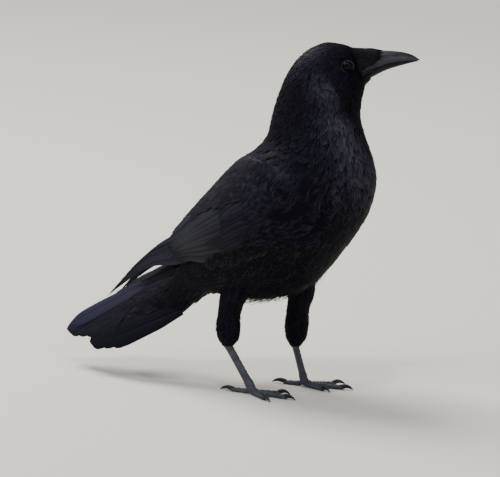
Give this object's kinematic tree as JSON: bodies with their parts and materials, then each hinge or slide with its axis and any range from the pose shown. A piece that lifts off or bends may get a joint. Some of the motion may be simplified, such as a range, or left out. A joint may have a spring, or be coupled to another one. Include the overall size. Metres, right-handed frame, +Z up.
{
  "type": "crow",
  "caption": "Life-size standing crow as a still display model, black and glossy, head turned to its left and tail twisted.",
  "frame": {"origin": "middle of the crow's box, at floor level between the feet", "axes": "+X is the way the body faces, +Y is the bird's left, +Z is up"},
  "size_m": [0.333, 0.1142, 0.3124],
  "materials": {
    "plumage": "black feathers with a bluish violet gloss",
    "bill": "dark slate horn with a soft shine",
    "leg_skin": "slate-grey scaled skin",
    "claw": "black horn",
    "eye": "dark brown iris under a wet clear front"
  },
  "bodies": {
    "root": {"head": "plumage", "neck": "plumage", "trunk": "plumage", "tail": "plumage", "bill_upper": "bill", "bill_lower": "bill", "eye_right": "eye", "eye_left": "eye", "wing_right": "plumage", "wing_left": "plumage", "primaries_right": "plumage", "primaries_left": "plumage", "thigh_right": "plumage", "thigh_left": "plumage", "shank_right": "leg_skin", "shank_left": "leg_skin", "foot_right": "leg_skin", "foot_left": "leg_skin", "claw_right_middle": "claw", "claw_right_inner": "claw", "claw_right_outer": "claw", "claw_right_hind": "claw", "claw_left_middle": "claw", "claw_left_inner": "claw", "claw_left_outer": "claw", "claw_left_hind": "claw"}
  },
  "joints": []
}
